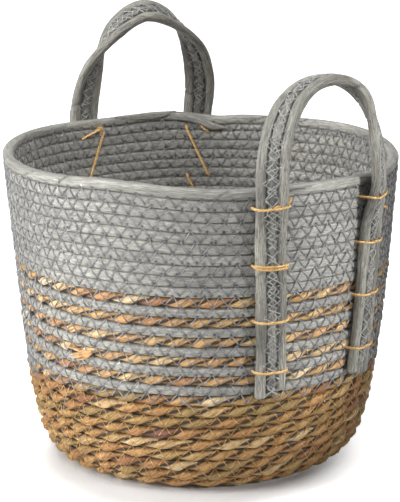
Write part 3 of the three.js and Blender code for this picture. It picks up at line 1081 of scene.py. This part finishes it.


# One cord of the strap. A splice is a slanting nick where the cord's wrap starts anew, with shade
# painted into it.
def strap_cord(handle, line, cord):
    strands = Strands()
    angle = corner_angles(STRAP_SIDES)
    place = list(CORDS).index(cord)
    first = handle["legs"]["left"]["feet"][2 - place] - LOWEST_FOOT
    last = line["run"][-1] - (handle["legs"]["right"]["feet"][2 - place] - LOWEST_FOOT)
    kept = (line["run"] >= first) & (line["run"] <= last)
    line = {key: value[kept] for key, value in line.items()}
    run = line["run"]
    end = np.minimum(run - run[0], run[-1] - run)
    closing = np.sqrt(np.clip(1 - (1 - np.clip(end / STRAP_ROUNDING, 0, 1)) ** 2, 0.08, 1))
    size = CORD_DIAMETER / 2 * closing * (1 + 0.035 * waves(run, 60))
    ridge = ridged(angle, run, STRAP_RIDGES)
    nick = np.zeros((len(run), STRAP_SIDES))
    for spliced, at, slant in handle["splices"]:
        if spliced == cord:
            turned = run[:, None] - at - slant * np.sin(angle)
            nick = np.maximum(nick, np.exp(-((turned / NICK_WIDTH) ** 2)))
            size = size * (1 + 0.07 * smooth((run - at) / 3) * smooth((at + 40 - run) / 30))
    ridge = ridge - NICK_DEPTH * nick
    wide, tall = superellipse(angle, 2.25)
    aside = wide * ridge * size[:, None] * handle["spacing"] / CORD_DIAMETER
    rise = tall * ridge * size[:, None]
    across = CORDS[cord]
    edge, face = line["edge"], line["face"]
    centre = line["middle"] + edge * (across * handle["spacing"])
    rings = centre[:, None] + edge[:, None] * aside[..., None] + face[:, None] * rise[..., None]
    flow = np.stack([run[:, None] + 61 * across + 0 * aside, aside, rise], -1)
    tone = 0.2 + 0.2 * waves(run, 120) + 0.5 * abs(across)
    strands.add(rings, flow, tone=tone[:, None], pit=0.8 * nick)
    piece = strands.piece(f"{handle['name']}_{cord}_cord", strap_fibre, "strap_cord")
    nodes = [f"{handle['name']}_arch_{cord}_cord"]
    nodes += [f"{handle['name']}_{side}_leg_{cord}_cord" for side in ("left", "right")]
    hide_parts(*nodes)
    blend_strap(piece)


def on_strap(line, run, across, height):
    middle, edge, face = (resampled(run, line["run"], line[key]) for key in ("middle", "edge", "face"))
    return middle + edge * across[..., None] + face * height[..., None], face


def strap_profile(across, spacing):
    nearest = across - spacing * np.clip(np.round(across / spacing), -1, 1)
    return np.sqrt(np.clip((CORD_DIAMETER / 2) ** 2 - nearest**2, 0, None))


# The strap's two zigzags on a seam: near and far reach, over the cords' spacing, and period
STRAP_ZIGZAGS = ((-0.16, 1.15, 15.5), (0.3, 0.85, 12.5))
YARN_PLACES = (0, 0.12, 0.3, 0.5, 0.7, 0.88)
YARN_RADIUS = 0.44
YARN_SINK = 0.7
YARN_START = 4


# Each seam of the strap has its own zigzags. The wider ones cross on the middle cord.
def strap_thread(handle, line):
    strands = Strands()
    spacing = handle["spacing"]
    for seam in (-1, 1):
        for face in (-1, 1):
            for near, far, period in STRAP_ZIGZAGS:
                count = int((line["run"][-1] - 2 * YARN_START) / (period / 2))
                hole = np.arange(count)
                at = YARN_START + (hole + random.uniform(-0.2, 0.2, count)) * period / 2
                reach = np.where(hole % 2 == 0, far, near) + random.normal(0, 0.07, count)
                place = zigzag_places(count, YARN_PLACES)
                run = np.interp(place, hole, at)
                across = seam * spacing * (np.interp(place, hole, reach) - 0.3)
                height = np.maximum(strap_profile(across, spacing), CORD_DIAMETER * 0.41)
                height = height + YARN_RADIUS * 0.8
                height = np.where(place % 1 == 0, height - YARN_SINK, height)
                path, outward = on_strap(line, run, across, face * height)
                strands.add(*swept(path, outward * face, YARN_RADIUS, 6))
    piece = strands.piece(f"{handle['name']}_strap_thread", strap_yarn, "strap_cord")
    blend_strap(piece)


def strap(handle):
    line = strap_line(handle)
    for cord in CORDS:
        strap_cord(handle, line, cord)
    strap_thread(handle, line)


for handle in HANDLES:
    strap(handle)


# Twine

TWINE_STEP = 0.45
TWINE_WINDOW = 5


# Two thin plies wound round each other, drawn to a point over the last millimetres if that is asked
def twisted_twine(strands, path, outward, size=TWINE_DIAMETER, pitch=7.0, taper_ends=0.0):
    run = run_along(path)
    even = np.linspace(0, run[-1], max(int(run[-1] / TWINE_STEP), 8))
    path = eased(resampled(even, run, path), TWINE_WINDOW)
    outward = resampled(even, run, outward)
    aside, up = frame_along(path, outward)
    end = np.minimum(even, even[-1] - even)
    closing = np.ones_like(even)
    if taper_ends:
        closing = mix(0.25, 1, smooth(end / taper_ends))
    for ply in range(2):
        phase = 2 * np.pi * even / pitch + np.pi * ply
        shift = 0.235 * size * closing
        centre = path + aside * (shift * np.cos(phase))[:, None] + up * (shift * np.sin(phase))[:, None]
        rings, flow = swept(centre, outward, 0.29 * size * closing)
        flow = flow + [0, 5 * ply, 0]
        strands.add(rings, flow)


# A smooth curve through the given points
def curved(points, count=60):
    points = np.asarray(points, float)
    padded = np.concatenate([[2 * points[0] - points[1]], points, [2 * points[-1] - points[-2]]])
    share = np.linspace(0, len(points) - 1 - 1e-9, count)
    cell = share.astype(int)
    t = (share - cell)[:, None]
    a, b, c, d = (padded[cell + k] for k in range(4))
    return 0.5 * (2 * b + (c - a) * t + (2 * a - 5 * b + 4 * c - d) * t**2 + (3 * b - a - 3 * c + d) * t**3)


TIE_GAP = 1.8
TIE_SINK = 2.5
TIE_SAG = 0.7
DOUBLED_LIFTS = (-1.1, 1.3)


# A loop of twine over the three cords of a leg and through the wall, or two loops side by side
def tie(handle, side_name, number):
    leg = handle["legs"][side_name]
    height = WALL_HEIGHT - leg["tie_depths"][number]
    found = {key: value[0] for key, value in leg_frame(handle, leg, np.array([float(height)])).items()}
    tilt = leg["tilts"][number]
    spacing = handle["spacing"]
    beside = spacing + CORD_DIAMETER / 2 + TIE_GAP
    above = CORD_DIAMETER / 2 + TWINE_DIAMETER / 2 - 0.1

    def over(across, rise, lift=0.0):
        raised = [0, 0, tilt * across + lift]
        return found["middle"] + found["edge"] * across + found["face"] * rise + raised

    def at_wall(place, rise):
        azimuth = np.degrees(np.arctan2(place[0], -place[1]))
        return upright(azimuth, outer_radius(place[2]) + rise, place[2])

    # From the wall up to the middle cord, on one side
    def flank(side, lift):
        return [
            at_wall(over(side * beside, 0), -TIE_SINK),
            at_wall(over(side * beside, 0), 2.0),
            over(side * (spacing + above), 0.6, lift * 0.3),
            over(side * (spacing + above * 0.6), above * 0.8, lift),
            over(side * spacing * 0.8, above, lift - TIE_SAG),
        ]

    strands = Strands()
    for lift in DOUBLED_LIFTS if number in leg["doubled"] else (0.0,):
        top = over(0, above + 0.1, lift - TIE_SAG)
        path = curved([*flank(-1, lift), top, *flank(1, lift)[::-1]])
        twisted_twine(strands, path, path - found["middle"])
    name = f"{handle['name']}_{side_name}_tie_{number + 1}"
    basket_piece(strands, name + "_twine", twine_leaf, "tie_twine", name)


# Inside the wall the twine runs from each tie down to the next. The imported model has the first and
# the last of a leg's three runs as nodes.
def inner_run(handle, side_name, upper):
    leg = handle["legs"][side_name]
    share = np.linspace(-0.03, 1.03, 40)
    height = WALL_HEIGHT - mix(leg["tie_depths"][upper], leg["tie_depths"][upper + 1], share)
    aslant = leg_azimuth(handle, leg, height) + leg["side"] * RUN_SPREAD * (share - 0.5) + leg["run_shift"]
    sunk = 3.5 * smooth((np.abs(share - 0.5) - 0.47) / 0.06)
    path = upright(aslant, outer_radius(height) - WALL_DEPTH - TWINE_DIAMETER / 2 + sunk, height)
    strands = Strands()
    twisted_twine(strands, path, -radial(aslant), size=RUN_DIAMETER, pitch=8)
    name = f"{handle['name']}_{side_name}_inner_run_" + ("1", "middle", "2")[upper]
    basket_piece(strands, name + "_twine", twine_leaf, "tie_twine", None if upper == 1 else name)


for handle in HANDLES:
    for side_name in ("left", "right"):
        for number in range(4):
            tie(handle, side_name, number)
        for upper in range(3):
            inner_run(handle, side_name, upper)


# Loose ends. Each place is an azimuth, a height and how far it stands out of the wall's outer face,
# or out of its inner face for what lies inside.


def wall_path(places, inside, count=60):
    azimuth, height, rise = curved(places, count).T
    radius = outer_radius(height) - WALL_DEPTH - rise if inside else outer_radius(height) + rise
    outward = radial(azimuth) * (-1 if inside else 1)
    return upright(azimuth, radius, height), outward


# A flat strip, as wide and as thick along its path as given
def strip(strands, path, outward, wide, thick, tone=0.5, sides=12):
    aside, up = frame_along(path, outward)
    across, rise = superellipse(corner_angles(sides), 2.6)
    across = across * wide[:, None] / 2
    rise = rise * thick[:, None] / 2
    rings = path[:, None] + aside[:, None] * across[..., None] + up[:, None] * rise[..., None]
    flow = np.stack([run_along(path)[:, None] + 0 * across, across, rise], -1)
    strands.add(rings, flow, tone=tone)


LOOSE_TWINE_OUTSIDE = {
    "front_handle_left_tie_1_end":
        ((17.6, 278.6, 13.4), (19.5, 280, 14.2), (22.2, 281.9, 10), (24, 282.8, -2)),
    "front_handle_right_tie_1_stub":
        ((59.2, 260.4, -1.5), (60.2, 259, 3), (62, 256.8, 4), (64, 254, 3.4)),
}
LOOSE_TWINE_INSIDE = {
    "back_handle_right_inner_tail":
        ((215.9, 283, 2), (217.5, 281.6, 3), (220.5, 278.4, 2), (223.5, 275, 1.4)),
    "back_handle_left_inner_short_run":
        ((180, 281.6, -2), (179.4, 280, 1.6), (177.6, 276.4, 1.6), (177, 275, -2)),
}
INNER_KNOT = (215.75, 283, 1.6)

# The stray grey threads on the wall, by azimuth and height
STRAY_THREADS = (
    ((-63, 93.5), (-56.5, 100), (-52.75, 94.5), (-45.75, 97)),
    ((-42.5, 99), (-36.25, 98), (-31.25, 98), (-28.5, 106.5)),
    ((-45.5, 95), (-48.5, 77.5), (-51.5, 63)),
    ((-6.25, 101), (-5.75, 96.5), (-3.75, 90.5), (-0.75, 88.5), (3.75, 93.5), (10.25, 100.5)),
)

# Frayed ends: root, tips, count of fibres, width of a fibre
ROPE_FRAY = ((-34.6, 133.5), ((-42, 135), (-41.5, 129.5), (-40.5, 124.5), (-38, 126)), 10, 2.8)
TWINE_FRAY = ((61.75, 176.5), ((71, 165), (70, 169), (68, 163)), 12, 0.7)

# The wrap's own end bands on the inside of the rim
RIM_BAND = ((209.5, 293, -1), (204, 291.5, 0.2), (197, 290, 0.6), (192, 291, 0.2), (188.25, 293.5, -1))
RIM_END = ((192, 288.5, -3), (186, 288.5, 0.4), (181, 286.5, 1.4), (176, 282.3, 1.9), (171.25, 280.5, 0.4))


def loose_twine():
    for inside, twines in ((False, LOOSE_TWINE_OUTSIDE), (True, LOOSE_TWINE_INSIDE)):
        for name, places in twines.items():
            strands = Strands()
            twisted_twine(strands, *wall_path(places, inside), taper_ends=1.5)
            basket_piece(strands, name, twine_leaf, "tie_twine")
    azimuth, height, rise = INNER_KNOT
    turn = np.linspace(0, 2 * np.pi, 90)
    across = np.sin(turn) + 2 * np.sin(2 * turn)
    up = np.cos(turn) - 2 * np.cos(2 * turn)
    rise = rise - 0.8 * np.sin(3 * turn)
    path = upright(azimuth, outer_radius(height) - WALL_DEPTH - rise, height + up)
    path = path + tangential(azimuth) * across[:, None]
    knot = Strands()
    twisted_twine(knot, path, np.broadcast_to(-radial(azimuth), path.shape), size=2.2, pitch=6)
    basket_piece(knot, "back_handle_right_inner_knot", twine_leaf, "tie_twine")


def stray_threads():
    strands = Strands()
    for line in STRAY_THREADS:
        places = [(azimuth, height, 0.3) for azimuth, height in line]
        places[0] = (*line[0], -1.5)
        places[-1] = (*line[-1], -1.5)
        strands.add(*swept(*wall_path(places, False), 0.3, 6))
    basket_piece(strands, "stray_grey_threads", pale_thread, "grey_cord")


def fray(name, ends, material, slot):
    root, tips, count, width = ends
    strands = Strands()
    for number in range(count):
        tip = np.array(tips[number % len(tips)]) + random.normal(0, 0.9, 2)
        bend = mix(np.array(root), tip, 0.5) + random.normal(0, 0.8, 2)
        places = ((*root, -1.0), (*bend, random.uniform(1.0, 2.4)), (*tip, random.uniform(0.6, 3.0)))
        path, outward = wall_path(places, False, 24)
        wide = width * random.uniform(0.6, 1.2) * np.linspace(1, 0.25, 24) ** 0.6
        strip(strands, path, outward, wide, wide * 0.4, tone=random.uniform(0.05, 0.5), sides=8)
    basket_piece(strands, name, material, slot)


def rim_ends():
    strands = Strands()
    share = np.linspace(0, 1, 80)
    wide = 7 * np.sin(np.pi * mix(0.06, 0.94, share)) ** 0.7
    strip(strands, *wall_path(RIM_BAND, True, 80), wide, 2.4 + 0 * share)
    wide = 8 * smooth((1.06 - share) / 0.3)
    strip(strands, *wall_path(RIM_END, True, 80), wide, 4.4 * smooth((1.1 - share) / 0.4) + 0.6)
    basket_piece(strands, "rim_wrap_ends", rim_fibre, "rim_wrap")


loose_twine()
stray_threads()
fray("rope_join_fray", ROPE_FRAY, stripe_leaf, "stripe_rope")
fray("twine_end_fray", TWINE_FRAY, grey_thread, "tie_twine")
rim_ends()


# Floor, light and camera


# The floor glows to the camera, a painted light that makes it brighter than the lamps do, the more
# so the farther it is from a point under the basket's front, so that it runs into the white and
# keeps the lamps' shade only near the front of the base. These lengths are metres.
FLOOR_REACH = 6.0
FLOOR_TONE = 0.72
FLOOR_LIFT = 0.8
LIFT_MIDDLE = (-0.018, -0.06, 0)
LIFT_START = 0.115
LIFT_END = 0.175


def stage_floor():
    finish = Finish("pale_floor", 0.7, gloss=0.2)
    shader = finish.shader
    shader.inputs["Base Color"].default_value = (FLOOR_TONE, FLOOR_TONE, FLOOR_TONE, 1)
    shader.inputs["Emission Color"].default_value = WHITE
    length = finish.node("ShaderNodeVectorMath", operation="DISTANCE")
    finish.join(finish.node("ShaderNodeNewGeometry").outputs["Position"], length.inputs[0])
    length.inputs[1].default_value = LIFT_MIDDLE
    away = finish.node("ShaderNodeMapRange", interpolation_type="SMOOTHSTEP")
    away.inputs["From Min"].default_value = LIFT_START
    away.inputs["From Max"].default_value = LIFT_END
    away.inputs["To Max"].default_value = FLOOR_LIFT
    finish.join(length.outputs["Value"], away.inputs["Value"])
    lift = finish.node("ShaderNodeMath", operation="MULTIPLY")
    finish.join(finish.node("ShaderNodeLightPath").outputs["Is Camera Ray"], lift.inputs[0])
    finish.join(away.outputs["Result"], lift.inputs[1])
    finish.join(lift.outputs[0], shader.inputs["Emission Strength"])
    mesh = bpy.data.meshes.new("floor")
    corners = [(x * FLOOR_REACH, y * FLOOR_REACH, 0) for x, y in ((-1, -1), (1, -1), (1, 1), (-1, 1))]
    mesh.from_pydata(corners, [], [(0, 1, 2, 3)])
    mesh.materials.append(finish.material)
    placed("floor", mesh)


# The world is brighter to the camera, and to what mirrors it or lets it through, than as a light.
def world_light(level, shown):
    world = bpy.data.worlds.new("studio")
    bpy.context.scene.world = world
    sky = Nodes(world)
    background = sky.tree.nodes["Background"]
    rays = sky.node("ShaderNodeLightPath")
    seen = rays.outputs["Is Camera Ray"]
    for kind in ("Is Glossy Ray", "Is Transmission Ray"):
        add = sky.node("ShaderNodeMath", operation="MAXIMUM")
        sky.join(seen, add.inputs[0])
        sky.join(rays.outputs[kind], add.inputs[1])
        seen = add.outputs[0]
    strength = sky.node("ShaderNodeMapRange")
    strength.inputs["To Min"].default_value = level
    strength.inputs["To Max"].default_value = shown
    sky.join(seen, strength.inputs["Value"])
    sky.join(strength.outputs["Result"], background.inputs["Strength"])
    background.inputs["Color"].default_value = WHITE


# A lamp in a direction, by azimuth and elevation, and at a distance from what it is aimed at
def area_light(name, direction, distance, target, size, power, spread=180):
    azimuth, elevation = direction
    lift = np.radians(elevation)
    place = np.array(target) + distance * (radial(azimuth) * np.cos(lift) + [0, 0, np.sin(lift)])
    data = bpy.data.lights.new(name, "AREA")
    data.shape = "RECTANGLE"
    data.size, data.size_y = size
    data.energy = power
    data.spread = np.radians(spread)
    lamp = placed(name, data)
    lamp.location = place
    lamp.rotation_euler = (Vector(target) - Vector(place)).to_track_quat("-Z", "Y").to_euler()


# The camera was worked out from the outlines of the rim and the base.
CAMERA_DISTANCE = 9 * RIM_RADIUS
CAMERA_TARGET = 0.75 * RIM_RADIUS
CAMERA_ELEVATION = np.radians(16.035)
CAMERA_ROLL = np.radians(0.6035)
FOCAL_PIXELS = 1740.63
IMAGE_LONG_SIDE = 502
TARGET_PIXELS = (2.27, 47.02)
SENSOR = 36.0


def camera():
    data = bpy.data.cameras.new("camera")
    thing = placed("camera", data)
    bpy.context.scene.camera = thing
    back = Vector((0, -np.cos(CAMERA_ELEVATION), np.sin(CAMERA_ELEVATION)))
    right = Vector((1, 0, 0))
    up = back.cross(right)
    cosine, sine = np.cos(CAMERA_ROLL), np.sin(CAMERA_ROLL)
    turned = Matrix((right * cosine - up * sine, right * sine + up * cosine, back)).transposed().to_4x4()
    place = Vector((0, 0, CAMERA_TARGET)) + back * CAMERA_DISTANCE
    thing.matrix_world = Matrix.Translation(place * MM) @ turned
    data.sensor_fit = "AUTO"
    data.sensor_width = SENSOR
    data.lens = FOCAL_PIXELS / IMAGE_LONG_SIDE * SENSOR
    data.shift_x = -TARGET_PIXELS[0] / IMAGE_LONG_SIDE
    data.shift_y = TARGET_PIXELS[1] / IMAGE_LONG_SIDE
    data.clip_start = 0.05
    data.clip_end = 50


def sun_light(strength, spread):
    data = bpy.data.lights.new("top", "SUN")
    data.energy = strength
    data.angle = np.radians(spread)
    placed("top", data)


stage_floor()
world_light(0.12, 1.0)
sun_light(1.7, 50)
# Each lamp: direction, distance, target, size and power, and for the narrow ones the spread
area_light("left", (-68, 20), 2, (0, 0, 0.15), (0.7, 0.9), 30)
area_light("left_top", (-60, 55), 2, (0, 0, 0.15), (0.7, 0.9), 15)
area_light("left_low", (-45, 18), 1.8, (-0.105, -0.155, 0.2), (0.15, 0.4), 0.21, spread=9)
area_light("right_low", (62, 22), 1.6, (0.105, -0.145, 0.22), (0.1, 0.3), 0.16, spread=7)
area_light("inside", (25, 40), 1.5, (-0.12, 0.11, 0.26), (0.1, 0.1), 0.07, spread=12)
camera()
bpy.context.scene.view_settings.view_transform = "Standard"
